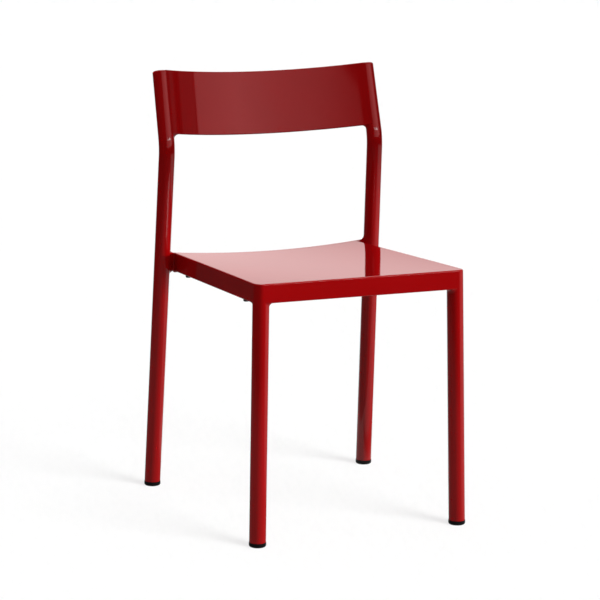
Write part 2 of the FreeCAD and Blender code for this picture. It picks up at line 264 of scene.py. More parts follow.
FRONT_LEG_TOP = behind_front(SEAT_FRONT_WIDTH / 2 - TUBE_RADIUS, TUBE_RADIUS, SEAT_FRONT_HEIGHT)
FRONT_LEG_UP = Vector((-slope(FRONT_LEG_SPLAY), slope(FRONT_LEG_RAKE), 1))
REAR_LEG_UP = Vector((-slope(REAR_LEG_SPLAY), -slope(REAR_LEG_RAKE), 1))
BACK_UP = Vector((-slope(BACK_TAPER), slope(BACK_RECLINE), 1))
RAIL_MIDDLE_HEIGHT = side_height(SEAT_DEPTH) - APRON_HEIGHT / 2
STILE_AT_RAIL = behind_front(
    SEAT_REAR_WIDTH / 2 + REAR_RAIL_OVERHANG + TUBE_RADIUS,
    SEAT_DEPTH + REAR_RAIL_THICKNESS + FLUSH_RECESS - TUBE_RADIUS,
    RAIL_MIDDLE_HEIGHT,
)


def front_leg_point(z):
    return FRONT_LEG_TOP + FRONT_LEG_UP * (z - FRONT_LEG_TOP.z)


def rear_leg_point(z):
    return STILE_AT_RAIL + REAR_LEG_UP * (z - STILE_AT_RAIL.z)


BEND_POINT = rear_leg_point(BEND_HEIGHT)
STILE_TOP = BEND_POINT + BACK_UP * (STILE_TOP_HEIGHT - BEND_HEIGHT)
CAP_SEAT = STILE_TOP - BACK_UP.normalized() * CAP_THICKNESS


# Tubes

def ring(center, way, radius, tilt=0.0):
    """A circle of points around a tube. Normals lean by tilt radians towards way."""
    side = (ACROSS - way * ACROSS.dot(way)).normalized()
    front = way.cross(side)
    row = []
    for i in range(TUBE_SIDES):
        angle = 2 * math.pi * i / TUBE_SIDES
        out = side * math.cos(angle) + front * math.sin(angle)
        row.append((center + out * radius, out * math.cos(tilt) + way * math.sin(tilt)))
    return row


def level_ring(axis_point, way, radius, height, tilt=0.0):
    """The same, with each point moved along the tube to one height above the floor."""
    row = ring(axis_point(height), way, radius, tilt)
    return [(point + way * ((height - point.z) / way.z), normal) for point, normal in row]


def foot_rows(axis_point, way):
    """The tube's eased end above its glide, from its bore outwards."""
    rows = [level_ring(axis_point, way, TUBE_RADIUS * TUBE_BORE_SHARE, GLIDE_HEIGHT, -QUARTER_TURN)]
    for turn in quarter_turns():
        radius = TUBE_RADIUS - TUBE_END_RADIUS * (1 - math.sin(turn))
        height = GLIDE_HEIGHT + TUBE_END_RADIUS * (1 - math.cos(turn))
        rows.append(level_ring(axis_point, way, radius, height, turn - QUARTER_TURN))
    return rows


def straight_rows(start, end, way):
    """Evenly spaced rings from start to end, without the first one."""
    count = max(1, round((end - start).length / TUBE_RUN))
    return [ring(start.lerp(end, k / count), way, TUBE_RADIUS) for k in range(1, count + 1)]


def under_seat(row, depth):
    """The row's points moved up or down the front leg to a depth below the seat's top."""
    moved = []
    for point, normal in row:
        target = on_seat(point.x, point.y - SEAT_FRONT_Y, depth).z
        moved.append((point + FRONT_LEG_UP * (target - point.z), normal))
    return moved


def front_leg_skin():
    """A leg from its foot to the underside of the seat sheet, which it is tucked into."""
    way = FRONT_LEG_UP.normalized()
    skin = Skin()
    rows = foot_rows(front_leg_point, way)
    start = front_leg_point(GLIDE_HEIGHT + TUBE_END_RADIUS)
    rows += straight_rows(start, front_leg_point(SEAT_FRONT_HEIGHT - APRON_HEIGHT), way)
    top = front_leg_point(SEAT_FRONT_HEIGHT)
    rows.append(under_seat(ring(top, way, TUBE_RADIUS), SEAT_SHEET))
    rows.append(under_seat(ring(top, way, TUBE_RADIUS - TUCK / 4), SEAT_SHEET - TUCK))
    skin.grid(rows, wrap=True)
    return skin


def rear_stile_skin():
    """One bent tube, from its foot to the cap at its top."""
    lower = REAR_LEG_UP.normalized()
    upper = BACK_UP.normalized()
    turn = lower.angle(upper)
    tangent = BEND_RADIUS * math.tan(turn / 2)
    to_center = (upper - lower).normalized()
    center = BEND_POINT + to_center * (BEND_RADIUS / math.cos(turn / 2))
    rows = foot_rows(rear_leg_point, lower)
    start = rear_leg_point(GLIDE_HEIGHT + TUBE_END_RADIUS)
    rows += straight_rows(start, BEND_POINT - lower * tangent, lower)
    for k in range(1, BEND_STEPS + 1):
        way = lower.slerp(upper, k / BEND_STEPS)
        inward = (to_center - way * to_center.dot(way)).normalized()
        rows.append(ring(center - inward * BEND_RADIUS, way, TUBE_RADIUS))
    rows += straight_rows(BEND_POINT + upper * tangent, CAP_SEAT, upper)
    skin = Skin()
    skin.grid(rows, wrap=True)
    return skin


def stile_cap_skin():
    """The flat top of the tube with its eased rim."""
    way = BACK_UP.normalized()
    rows = [ring(CAP_SEAT, way, TUBE_RADIUS)]
    for turn in quarter_turns():
        radius = TUBE_RADIUS - CAP_EDGE_RADIUS * (1 - math.cos(turn))
        center = STILE_TOP - way * (CAP_EDGE_RADIUS * (1 - math.sin(turn)))
        rows.append(ring(center, way, radius, turn))
    flat_radius = TUBE_RADIUS - CAP_EDGE_RADIUS
    rows += [ring(STILE_TOP, way, radius, QUARTER_TURN) for radius in (flat_radius / 2, 0.0)]
    skin = Skin()
    skin.grid(rows, wrap=True)
    return skin


# Sections of rails and sheets

def round_corner(before, corner, after, radius):
    """The points of a corner's arc, and its centre."""
    back = (before - corner).normalized()
    ahead = (after - corner).normalized()
    half = back.angle(ahead) / 2
    center = corner + (back + ahead).normalized() * (radius / math.sin(half))
    first = corner + back * (radius / math.tan(half)) - center
    last = corner + ahead * (radius / math.tan(half)) - center
    turn = first.angle(last)
    return [center + between(first, last, turn, k / ARC_STEPS) for k in range(ARC_STEPS + 1)], center


def rounded_outline(corners, radii, closed, spacing):
    """Points and outward normals along a counterclockwise outline with round corners, in its own plane.

    Straight runs are divided at about the spacing, and the ends of an open outline stay sharp.
    """
    corners = [Vector(corner) for corner in corners]
    count = len(corners)
    arcs = []
    for i, corner in enumerate(corners):
        if not closed and i in (0, count - 1):
            arcs.append(([corner], corner))
        else:
            arcs.append(round_corner(corners[i - 1], corner, corners[(i + 1) % count], radii[i]))
    outline = []
    for i in range(count if closed else count - 1):
        points, center = arcs[i]
        run = arcs[(i + 1) % count][0][0] - points[-1]
        out = Vector((run.y, -run.x)).normalized()
        outline += [(point, (point - center).normalized()) for point in points[:-1]]
        pieces = max(1, round(run.length / spacing))
        outline += [(points[-1] + run * (k / pieces), out) for k in range(pieces)]
    if not closed:
        outline.append((corners[-1], out))
    return outline


class Bar:
    """A straight rail: a section in the plane of two directions, run along a third.

    A station of the section is a point of its outline and the outward normal there.
    """

    def __init__(self, corner, along, inward, down, corners, radii):
        self.corner = corner
        self.along = along
        self.inward = inward
        self.down = down
        self.corners = corners
        self.radii = radii

    def section(self, spacing):
        return rounded_outline(self.corners, self.radii, False, spacing)

    def normal(self, station):
        return self.inward * station[1].x + self.down * station[1].y

    def point(self, station, along, lift=0.0):
        """A point of the skin, or lifted off it, at a distance along the rail."""
        flat = station[0] + station[1] * lift
        return self.corner + self.along * along + self.inward * flat.x + self.down * flat.y

    def back_from(self, length):
        """The same rail, run back from a distance along it."""
        corner = self.corner + self.along * length
        return Bar(corner, -self.along, self.inward, self.down, self.corners, self.radii)


def rail_section(thickness, height, radius):
    """The three outer walls of a rail that is open above. Its last wall is the outer one."""
    corners = [(thickness, -TUCK), (thickness, height), (0, height), (0, -TUCK)]
    return corners, [0, radius, radius, 0]


SIDE_DOWN = Vector((slope(FRONT_LEG_SPLAY), 0, -1))
FRONT_DOWN = Vector((0, -slope(FRONT_LEG_RAKE), -1))


def front_bar():
    """The front rail, from the chair's middle towards the right leg's centre line."""
    corners, radii = rail_section(RAIL_THICKNESS, RAIL_HEIGHT, RAIL_CORNER_RADIUS)
    down = FRONT_DOWN.normalized()
    corner = behind_front(0, 0, SEAT_FRONT_HEIGHT) + down * SEAT_SHEET
    return Bar(corner, ACROSS, ACROSS.cross(down).normalized(), down, corners, radii)


def side_lean():
    """The plan angle by which the seat's side edges draw in towards the rear."""
    center = Vector((FRONT_LEG_TOP.x, TUBE_RADIUS))
    to_rear = Vector((SEAT_REAR_WIDTH / 2, SEAT_DEPTH)) - center
    return math.asin(TUBE_RADIUS / to_rear.length) - math.atan2(to_rear.x, to_rear.y)


SIDE_LEAN = side_lean()
SIDE_START = Vector((
    FRONT_LEG_TOP.x + TUBE_RADIUS * math.cos(SIDE_LEAN),
    TUBE_RADIUS + TUBE_RADIUS * math.sin(SIDE_LEAN),
))


def side_bar():
    """The right side rail, from beside the front leg's centre line to the rear rail."""
    corners, radii = rail_section(RAIL_THICKNESS, RAIL_HEIGHT, RAIL_CORNER_RADIUS)
    start = behind_front(SIDE_START.x, SIDE_START.y, side_height(SIDE_START.y))
    end = behind_front(SEAT_REAR_WIDTH / 2, SEAT_DEPTH, side_height(SEAT_DEPTH))
    along = (end - start).normalized()
    down = (SIDE_DOWN - along * SIDE_DOWN.dot(along)).normalized()
    return Bar(start + SIDE_DOWN * SEAT_SHEET, along, along.cross(down).normalized(), down, corners, radii)


def side_length():
    """How long the side rail is, up to the front of the rear rail."""
    return (SEAT_DEPTH - SIDE_START.y) / side_bar().along.y


class RearBar:
    """The rear rail: a slanted section that rises and falls with the seat's dish."""

    def __init__(self):
        rear = REAR_RAIL_THICKNESS + FLUSH_RECESS
        top = side_height(SEAT_DEPTH) - RAIL_MIDDLE_HEIGHT
        corners = []
        for y, drop in ((0, 0), (0, APRON_HEIGHT), (rear, APRON_HEIGHT), (rear, 0)):
            height = top - drop
            fall = side_height(SEAT_DEPTH) - side_height(SEAT_DEPTH + y)
            corners.append((y + self.front_at(height), height - fall))
        self.corners = corners
        radius = REAR_RAIL_CORNER_RADIUS
        self.radii = [radius / 4, radius, radius, radius]

    def section(self, spacing):
        return rounded_outline(self.corners, self.radii, True, spacing)

    def front_at(self, height):
        """How far back the front face is at a height."""
        return -height * slope(REAR_LEG_RAKE)

    def at(self, station, x, lift=0.0):
        """A point of the skin, or lifted off it, at a place across the chair."""
        flat = station[0] + station[1] * lift
        return behind_front(x, SEAT_DEPTH + flat.x, RAIL_MIDDLE_HEIGHT + flat.y - dish(x, SEAT_DEPTH))

    def normal_at(self, station, x):
        out = station[1]
        return Vector((-out.y * rise_across(x, SEAT_DEPTH), out.x, out.y)).normalized()

    def point(self, station, along, lift=0.0):
        """The same with along measured from the right tube's centre line towards the middle."""
        return self.at(station, STILE_AT_RAIL.x - along, lift)


BACK_LEAN = Vector((0, math.sin(math.radians(BACK_RECLINE)), math.cos(math.radians(BACK_RECLINE))))
BACKWARD = Vector((0, BACK_LEAN.z, -BACK_LEAN.y))
BACK_CENTER_DEPTH = math.sqrt((BACK_RADIUS + TUBE_RADIUS) ** 2 - STILE_TOP.x ** 2)


class BackSheet:
    """The curved backrest sheet: a flat section turned around a centre line in front of it."""

    def __init__(self):
        self.low = STILE_TOP - BACK_UP.normalized() * BACK_HEIGHT
        self.height = (STILE_TOP - self.low).dot(BACK_LEAN)
        high = self.height
        self.corners = [(0, high), (0, 0), (BACK_SHEET, 0), (BACK_SHEET, high)]
        self.radii = [BACK_EDGE_RADIUS] * 4

    def section(self, spacing):
        return rounded_outline(self.corners, self.radii, True, spacing)

    def axis(self, height):
        """The right tube's centre line at a height up the sheet."""
        return self.low.lerp(STILE_TOP, height / self.height)

    def front_radius(self, height):
        """The radius of the sheet's front face in plan."""
        return math.hypot(self.axis(height).x, BACK_CENTER_DEPTH) - TUBE_RADIUS

    def half_angle(self, height):
        """The angle in plan from the chair's middle to the right tube's centre line."""
        return math.atan2(self.axis(height).x, BACK_CENTER_DEPTH)

    def at(self, station, angle, lift=0.0):
        """A point of the skin, or lifted off it, at an angle in plan."""
        flat = station[0] + station[1] * lift
        axis = self.axis(flat.y)
        center = Vector((0, axis.y, axis.z)) - BACKWARD * BACK_CENTER_DEPTH
        outward = ACROSS * math.sin(angle) + BACKWARD * math.cos(angle)
        return center + outward * (self.front_radius(flat.y) + flat.x)

    def normal_at(self, station, angle):
        cone = (self.front_radius(self.height) - self.front_radius(0)) / self.height
        outward = ACROSS * math.sin(angle) + BACKWARD * math.cos(angle)
        normal = outward * station[1].x + BACK_LEAN * (station[1].y - station[1].x * cone)
        return normal.normalized()

    def point(self, station, along, lift=0.0):
        """The same with along measured from the right tube's centre line towards the middle."""
        height = (station[0] + station[1] * lift).y
        angle = self.half_angle(height) - along / self.front_radius(height)
        return self.at(station, angle, lift)


def rail_skin(bar, start, end):
    """A straight rail's skin between two places along it."""
    section = bar.section(RAIL_THICKNESS)
    rows = []
    for k in range(RAIL_STATIONS + 1):
        along = start + (end - start) * k / RAIL_STATIONS
        rows.append([(bar.point(s, along), bar.normal(s)) for s in section])
    skin = Skin()
    skin.grid(rows)
    return skin


def front_rail_skin():
    return rail_skin(front_bar(), -FRONT_LEG_TOP.x, FRONT_LEG_TOP.x)


def side_rail_skin():
    return rail_skin(side_bar(), 0, side_length() + TUCK)


def rear_rail_skin():
    """The rear rail from one rear tube's centre line to the other's."""
    bar = RearBar()
    section = bar.section(REAR_RAIL_THICKNESS)
    rows = []
    for k in range(REAR_RAIL_STATIONS + 1):
        x = STILE_AT_RAIL.x * (2 * k / REAR_RAIL_STATIONS - 1)
        rows.append([(bar.at(s, x), bar.normal_at(s, x)) for s in section])
    skin = Skin()
    skin.grid(rows, wrap=True)
    return skin


def backrest_skin():
    """The backrest sheet from one rear tube's centre line to the other's."""
    sheet = BackSheet()
    section = sheet.section(BACKREST_RUN)
    rows = []
    for k in range(BACKREST_STATIONS + 1):
        share = 2 * k / BACKREST_STATIONS - 1
        row = []
        for station in section:
            angle = sheet.half_angle(station[0].y) * share
            row.append((sheet.at(station, angle), sheet.normal_at(station, angle)))
        rows.append(row)
    skin = Skin()
    skin.grid(rows, wrap=True)
    return skin


# Seat sheet

def seat_face_normal(out):
    """The normal of the seat's edge where it faces out in plan. The edge leans like the front legs."""
    lean = slope(FRONT_LEG_SPLAY) * out.x - slope(FRONT_LEG_RAKE) * out.y
    return Vector((out.x, out.y, lean)).normalized()


def rear_plane_y(x):
    """Where the seat's top meets the front of the rear rail."""
    height = side_height(SEAT_DEPTH) - dish(x, SEAT_DEPTH)
    return SEAT_DEPTH - (height - RAIL_MIDDLE_HEIGHT) * slope(REAR_LEG_RAKE)


def seat_border():
    """Plan points and outward directions of the right side's outline, from the front leg to the rear."""
    center = Vector((FRONT_LEG_TOP.x, TUBE_RADIUS))
    border = []
    for k in range(SEAT_CORNER_STEPS + 1):
        angle = -QUARTER_TURN + (QUARTER_TURN + SIDE_LEAN) * k / SEAT_CORNER_STEPS
        out = Vector((math.cos(angle), math.sin(angle)))
        border.append((center + out * TUBE_RADIUS, out))
    side = Vector((math.cos(SIDE_LEAN), math.sin(SIDE_LEAN)))
    along = Vector((-side.y, side.x))
    run = (rear_plane_y(SEAT_REAR_WIDTH / 2) - SIDE_START.y) / along.y
    for k in range(1, SEAT_SIDE_STEPS + 1):
        border.append((SIDE_START + along * (run * k / SEAT_SIDE_STEPS), side))
    return border


def seat_face_rows(inset, depth, side):
    """The half sheet's top or underside, in rows from the chair's middle to the points of its border.

    The rows along the side bend more and more towards the rear, until the last one follows the rear rail.
    """
    rows = []
    for k, edge in enumerate(inset):
        share = max(0, k - SEAT_CORNER_STEPS) / (len(inset) - 1 - SEAT_CORNER_STEPS)
        row = []
        for i in range(SEAT_COLUMNS + 1):
            x = edge.x * i / SEAT_COLUMNS
            y = edge.y + (rear_plane_y(x) - rear_plane_y(edge.x)) * share
            row.append((on_seat(x, y, depth), seat_normal(x, y) * side))
        rows.append(row)
    return rows


def seat_edge_row(plan, out):
    """The folded edge at one place: round from the top to its face, then down and under."""
    face_normal = seat_face_normal(out)
    top_normal = seat_normal(plan.x, plan.y)
    top = on_seat(plan.x, plan.y)
    row = []
    for turn in quarter_turns():
        place = plan + out * (SEAT_FOLD_RADIUS * math.sin(turn))
        drop = SEAT_FOLD_RADIUS * (1 - math.cos(turn))
        normal = top_normal * math.cos(turn) + face_normal * math.sin(turn)
        row.append((behind_front(place.x, place.y, top.z - drop), normal))
    outer = plan + out * SEAT_FOLD_RADIUS
    row.append((behind_front(outer.x, outer.y, top.z - SEAT_SHEET), face_normal))
    row.append((on_seat(plan.x, plan.y, SEAT_SHEET), face_normal))
    return row


def seat_half_skin():
    """The right half of the seat sheet: dished top, folded edge and underside."""
    border = seat_border()
    inset = [point - out * SEAT_FOLD_RADIUS for point, out in border]
    skin = Skin()
    skin.grid(seat_face_rows(inset, 0.0, 1))
    skin.grid(seat_face_rows(inset, SEAT_SHEET, -1))
    rows = []
    for i in range(SEAT_COLUMNS):
        rows.append(seat_edge_row(Vector((inset[0].x * i / SEAT_COLUMNS, inset[0].y)), Vector((0, -1))))
    rows += [seat_edge_row(plan, out) for plan, (_, out) in zip(inset, border)]
    skin.grid(rows)
    return skin


# Ground welds

def line_reach(start, way):
    """How far a point is from the surface of a tube, and the tube's normal towards it."""
    way = way.normalized()

    def reach(point):
        across = (point - start) - way * (point - start).dot(way)
        return across.length - TUBE_RADIUS, across.normalized()

    return reach


def plane_reach(start, normal):
    """How far a point is from a flat face, and the face's normal."""

    def reach(point):
        return (point - start).dot(normal), normal

    return reach


def ball_place(bar, station, radius, reach):
    """How far along the bar a ball that rolls on it touches the surface that reach measures."""
    near = 0.0
    far = WELD_SEARCH
    for _ in range(WELD_SEARCH_STEPS):
        middle = (near + far) / 2
        if reach(bar.point(station, middle, radius))[0] > radius:
            far = middle
        else:
            near = middle
    return far


def weld_skin(bar, stations, reach):
    """A hollow round blend: where a ball rolls on the bar and on the surface that reach measures.

    stations are (section station, ball radius) pairs.
    """
    rows = []
    for station, radius in stations:
        along = ball_place(bar, station, radius, reach)
        center = bar.point(station, along, radius)
        first = (center - bar.point(station, along)).normalized()
        last = reach(center)[1]
        turn = first.angle(last, 0.0)
        row = []
        for k in range(ARC_STEPS + 1):
            share = k / ARC_STEPS
            normal = between(first, last, turn, share) if turn > LEAST_WELD_TURN else first.lerp(last, share)
            row.append((center - normal.normalized() * radius, normal))
        rows.append(row)
    skin = Skin()
    skin.grid(rows)
    return skin


def front_rail_weld():
    """The weld between the front rail's end and the front leg."""
    bar = front_bar().back_from(FRONT_LEG_TOP.x)
    stations = [(s, FRONT_WELD) for s in bar.section(WELD_RUN)]
    return weld_skin(bar, stations, line_reach(FRONT_LEG_TOP, FRONT_LEG_UP))


def side_rail_weld():
    """The weld between the side rail's front end and the front leg."""
    bar = side_bar()
    stations = [(s, FRONT_WELD) for s in bar.section(WELD_RUN)]
    return weld_skin(bar, stations, line_reach(FRONT_LEG_TOP, FRONT_LEG_UP))


def rear_rail_weld():
    """The weld around the rear rail's end, which is larger towards the front."""
    bar = RearBar()
    stations = []
    for s in bar.section(WELD_RUN):
        rearward = min(1.0, max(0.0, (s[0].x - bar.front_at(s[0].y)) / REAR_RAIL_THICKNESS))
        stations.append((s, REAR_FRONT_WELD + (REAR_BACK_WELD - REAR_FRONT_WELD) * rearward))
    return weld_skin(bar, stations + stations[:1], line_reach(STILE_AT_RAIL, REAR_LEG_UP))


def side_to_rear_weld():
    """The weld between the side rail's end and the front of the rear rail."""
    bar = side_bar().back_from(side_length())
    normal = Vector((0, -1, -slope(REAR_LEG_RAKE))).normalized()
    start = behind_front(0, SEAT_DEPTH, RAIL_MIDDLE_HEIGHT)
    stations = [(s, CORNER_WELD) for s in bar.section(WELD_RUN)]
    return weld_skin(bar, stations, plane_reach(start, normal))


def backrest_weld():
    """The weld from the foot of the sheet's front, under its lower edge and up its back."""
    sheet = BackSheet()
    limit = sheet.height - 2 * CAP_EDGE_RADIUS
    stations = []
    for s in sheet.section(WELD_RUN):
        place, out = s
        front = place.x < BACK_EDGE_RADIUS / 2 and place.y < BACK_WELD_FRONT_HEIGHT
        lower_edge = place.y < BACK_EDGE_RADIUS
        back = place.x > BACK_SHEET / 2 and place.y < limit
        if front or lower_edge or back:
            under = max(0.0, -out.y)
            size = BACK_WELD * (BACK_WELD_SIDE_SHARE + (1 - BACK_WELD_SIDE_SHARE) * under)
            if back:
                size *= min(1.0, max(BACK_WELD_LEAST_SHARE, (limit - place.y) / BACK_WELD_FADE))
            stations.append((s, size))
    return weld_skin(sheet, stations, line_reach(STILE_TOP, BACK_UP))


# Bumpers

def bumper_skin(node):
    """A moulded bumper with an eased rim, pressed into the rail's lower wall."""
    low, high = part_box(node)
    middle = (low + high) / 2
    bottom = low.z - BUMPER_BULGE
    down = Vector((0, 0, -1))

    def bumper_ring(height, radius, tilt):
        return ring(Vector((middle.x, middle.y, height)), down, radius, tilt)

    rows = [bumper_ring(high.z, BUMPER_RADIUS, 0.0)]
    for turn in quarter_turns():
        height = bottom + BUMPER_RIM * (1 - math.sin(turn))
        rows.append(bumper_ring(height, BUMPER_RADIUS - BUMPER_RIM * (1 - math.cos(turn)), turn))
    rows.append(bumper_ring(bottom, 0.0, QUARTER_TURN))
    skin = Skin()
    skin.grid(rows, wrap=True)
    return skin


# Materials

# Linear colours, noise scales per metre, and heights in metres
COAT_DEEP = (0.34, 0.0018, 0.0026)
COAT_LIGHT = (0.37, 0.0024, 0.0034)
COAT_CLOUD_SCALE = 6.0
COAT_CLOUD_RANGE = (0.35, 0.65)
COAT_ROUGHNESS = 0.06
COAT_ROUGHNESS_SPREAD = 0.1
COAT_GLOSS_SCALE = 40.0
COAT_IOR = 1.5
PEEL_SCALE = 420.0
PEEL_HEIGHT = 0.000006
PLASTIC_DEEP = (0.0045, 0.0045, 0.0048)
PLASTIC_LIGHT = (0.008, 0.008, 0.0084)
PLASTIC_CLOUD_SCALE = 300.0
PLASTIC_ROUGHNESS = 0.5
PLASTIC_IOR = 1.3
GRAIN_SCALE = 1500.0
GRAIN_HEIGHT = 0.00003
GRAIN_STRENGTH = 0.6
NOISE_RANGE = (0.3, 0.7)


def node_group(material):
    """The material's nodes, its links and its main shader."""
    material.use_nodes = True
    nodes = material.node_tree.nodes
    return nodes, material.node_tree.links, nodes["Principled BSDF"]


def noise(nodes, links, scale, detail=2.0):
    """Noise that is fixed to the piece."""
    place = nodes.new("ShaderNodeTexCoord")
    texture = nodes.new("ShaderNodeTexNoise")
    texture.inputs["Scale"].default_value = scale
    texture.inputs["Detail"].default_value = detail
    links.new(place.outputs["Object"], texture.inputs["Vector"])
    return texture.outputs["Fac"]


def ramp(nodes, links, source, limits, colors):
    """The source turned into a run from one colour to another between its two limits."""
    node = nodes.new("ShaderNodeValToRGB")
    for stop, position, color in zip(node.color_ramp.elements, limits, colors):
        stop.position = position
        stop.color = (*color, 1)
    links.new(source, node.inputs["Fac"])
    return node.outputs["Color"]


def bump(nodes, links, source, height, strength=1.0):
    """A normal that follows the source as a height."""
    node = nodes.new("ShaderNodeBump")
    node.inputs["Distance"].default_value = height
    node.inputs["Strength"].default_value = strength
    links.new(source, node.inputs["Height"])
    return node.outputs["Normal"]


def powder_coat():
    """Glossy red powder coat: faint orange peel, and slightly uneven colour and gloss."""
    material = bpy.data.materials.new("red_powder_coat")
    nodes, links, shader = node_group(material)
    cloud = noise(nodes, links, COAT_CLOUD_SCALE, 3.0)
    tone = ramp(nodes, links, cloud, COAT_CLOUD_RANGE, (COAT_DEEP, COAT_LIGHT))
    links.new(tone, shader.inputs["Base Color"])
    smooth = (COAT_ROUGHNESS * (1 - COAT_ROUGHNESS_SPREAD),) * 3
    rough = (COAT_ROUGHNESS * (1 + COAT_ROUGHNESS_SPREAD),) * 3
    gloss = ramp(nodes, links, noise(nodes, links, COAT_GLOSS_SCALE), NOISE_RANGE, (smooth, rough))
    links.new(gloss, shader.inputs["Roughness"])
    peel = bump(nodes, links, noise(nodes, links, PEEL_SCALE, 1.0), PEEL_HEIGHT)
    links.new(peel, shader.inputs["Normal"])
    shader.inputs["IOR"].default_value = COAT_IOR
    return material


def black_plastic():
    """Satin black moulded plastic with a fine grain."""
    material = bpy.data.materials.new("black_moulded_plastic")
    nodes, links, shader = node_group(material)
    cloud = noise(nodes, links, PLASTIC_CLOUD_SCALE)
    tone = ramp(nodes, links, cloud, NOISE_RANGE, (PLASTIC_DEEP, PLASTIC_LIGHT))
    links.new(tone, shader.inputs["Base Color"])
    shader.inputs["Roughness"].default_value = PLASTIC_ROUGHNESS
    shader.inputs["IOR"].default_value = PLASTIC_IOR
    grain = bump(nodes, links, noise(nodes, links, GRAIN_SCALE, 3.0), GRAIN_HEIGHT, GRAIN_STRENGTH)
    links.new(grain, shader.inputs["Normal"])
    return material


def dress_chair():
    """Every visible surface of the chair."""
    coat = powder_coat()
    plastic = black_plastic()
    make_pair(front_leg_skin(), "front_leg", coat)
    make_pair(rear_stile_skin(), "rear_stile", coat)
    make_pair(stile_cap_skin(), "stile_cap", coat)
    make_pair(side_rail_skin(), "side_rail", coat)
    make_piece(front_rail_skin(), "front_rail_coated", coat, "front_rail")
    make_piece(rear_rail_skin(), "rear_rail_coated", coat, "rear_rail")
    half = seat_half_skin()
    make_piece(half.joined(half.mirrored()), "seat_panel_coated", coat, "seat_panel")
    make_piece(backrest_skin(), "backrest_panel_coated", coat, "backrest_panel")
    make_pair(front_rail_weld(), "front_rail_weld", coat, replaces=False)
    make_pair(side_rail_weld(), "side_rail_weld", coat, replaces=False)
    make_pair(rear_rail_weld(), "rear_rail_weld", coat, replaces=False)
    make_pair(side_to_rear_weld(), "rear_corner_weld", coat, replaces=False)
    make_pair(backrest_weld(), "backrest_weld", coat, replaces=False)
    for name, node in frame["nodes"].items():
        if "bumper" in name:
            make_piece(bumper_skin(name), f"{name}_moulded", plastic, name)
        if "glide" in name:
            node.data.materials.clear()
            node.data.materials.append(plastic)


# Studio

# The camera, fitted to the photograph: angles in radians, lens and sensor in millimetres
CAMERA_YAW = -0.4206
CAMERA_PITCH = 0.1999
CAMERA_ROLL = 0.0131
CAMERA_DISTANCE = 5.0342
CAMERA_TARGET = Vector((-0.03899, -0.05276, 0.4))
CAMERA_LENS = 164.92
SENSOR_WIDTH = 36.0

# Where lamps and flats are set out from, and the corners of a square board
CHAIR_MIDDLE = Vector((0, 0, 0.45))
SQUARE = ((-1, -1), (1, -1), (1, 1), (-1, 1))

# The floor and the world look white, and light the chair at a lower level.
FLOOR_SIZE = 60.0
FLOOR_COLOR = (0.23, 0.23, 0.23)
FLOOR_GLOW = 0.75
WORLD_LIGHT = 0.34

# Lamps: azimuth, elevation and spread in degrees, and how bright a lamp makes a white wall that faces it
SIDE_AZIMUTH = 57
SIDE_ELEVATION = 4
SIDE_LIGHT = (SIDE_AZIMUTH, SIDE_ELEVATION, 8, 0.92)
TOP_LIGHT = (14, 75, 45, 0.47)
FOOT_LIGHT = (28, 40, 28, 1.15)

# The foot light is shaded only by pieces with one of these words in their names.
FOOT_SHADOW_NAMES = ("leg", "stile", "glide")

# The board that keeps the side light off what stands higher than GOBO_EDGE at the chair's middle
GOBO_EDGE = 0.58
GOBO_DISTANCE = 1.5
GOBO_HALF_WIDTH = 2.0
GOBO_HEIGHT = 0.5

# Flats around the chair that only reflections show: distance as a share of FLAT_DISTANCE, stops, and tint.
# A stop is its azimuth, its lowest and highest elevation, and its glow. A flat has a column every FLAT_STEP
# degrees.
FLAT_DISTANCE = 4.0
FLAT_STEP = 5
WALL_FLATS = {
    "dark_wall": (1.1, ((-180, -8, 70, 0.015), (120, -8, 70, 0.015)), (1, 1, 1)),
    "soft_right": (
        1.0,
        (
            (66, 10, 34, 0.12), (75, 10, 34, 0.1), (75.5, 10, 34, 0.01),
            (79, 10, 34, 0.01), (79.5, 10, 34, 0.1), (82, 10, 34, 0.1),
        ),
        (1, 1, 1),
    ),
    "strip_left": (0.98, ((18, 21, 25.2, 9.0), (38, 19, 22.6, 9.0)), (1, 1, 1)),
    "strip_right": (0.98, ((-5, 21.5, 25.6, 7.0), (5, 21.5, 25.6, 7.0)), (1, 1, 1)),
    "soft_front": (
        1.0,
        (
            (-28, 8, 27.8, 0.2), (-17, 8, 30.6, 0.33), (-16, 8, 36, 0.35), (-8, 8, 36, 0.45),
            (17, 8, 36, 0.65), (40, 8, 36, 0.9), (65, 8, 36, 0.6),
        ),
        (2.3, 1.0, 1.0),
    ),
    "high_back": (0.95, ((125, 50, 84, 6.0), (180, 50, 84, 6.0)), (1, 1, 1)),
    "backdrop": (1.0, ((121, -8, 50, 0.95), (179, -8, 50, 0.95)), (1.25, 0.92, 0.91)),
}

# A disc just above the floor that only reflections show. A stop is its radius, and its glow in front,
# behind and on the right. Behind and right are sectors: middle and half width in degrees.
FLOOR_STOPS = ((0.0, 0.17, 0.5, 0.4), (1.2, 0.15, 0.6, 0.5), (2.2, 0.03, 0.6, 0.5), (4.5, 0.02, 0.6, 0.3))
FLOOR_FLAT_SIDES = 72
FLOOR_FLAT_LIFT = 0.0001
BEHIND_SECTOR = (156, 36)
RIGHT_SECTOR = (70, 30)
SECTOR_BORDER = 12


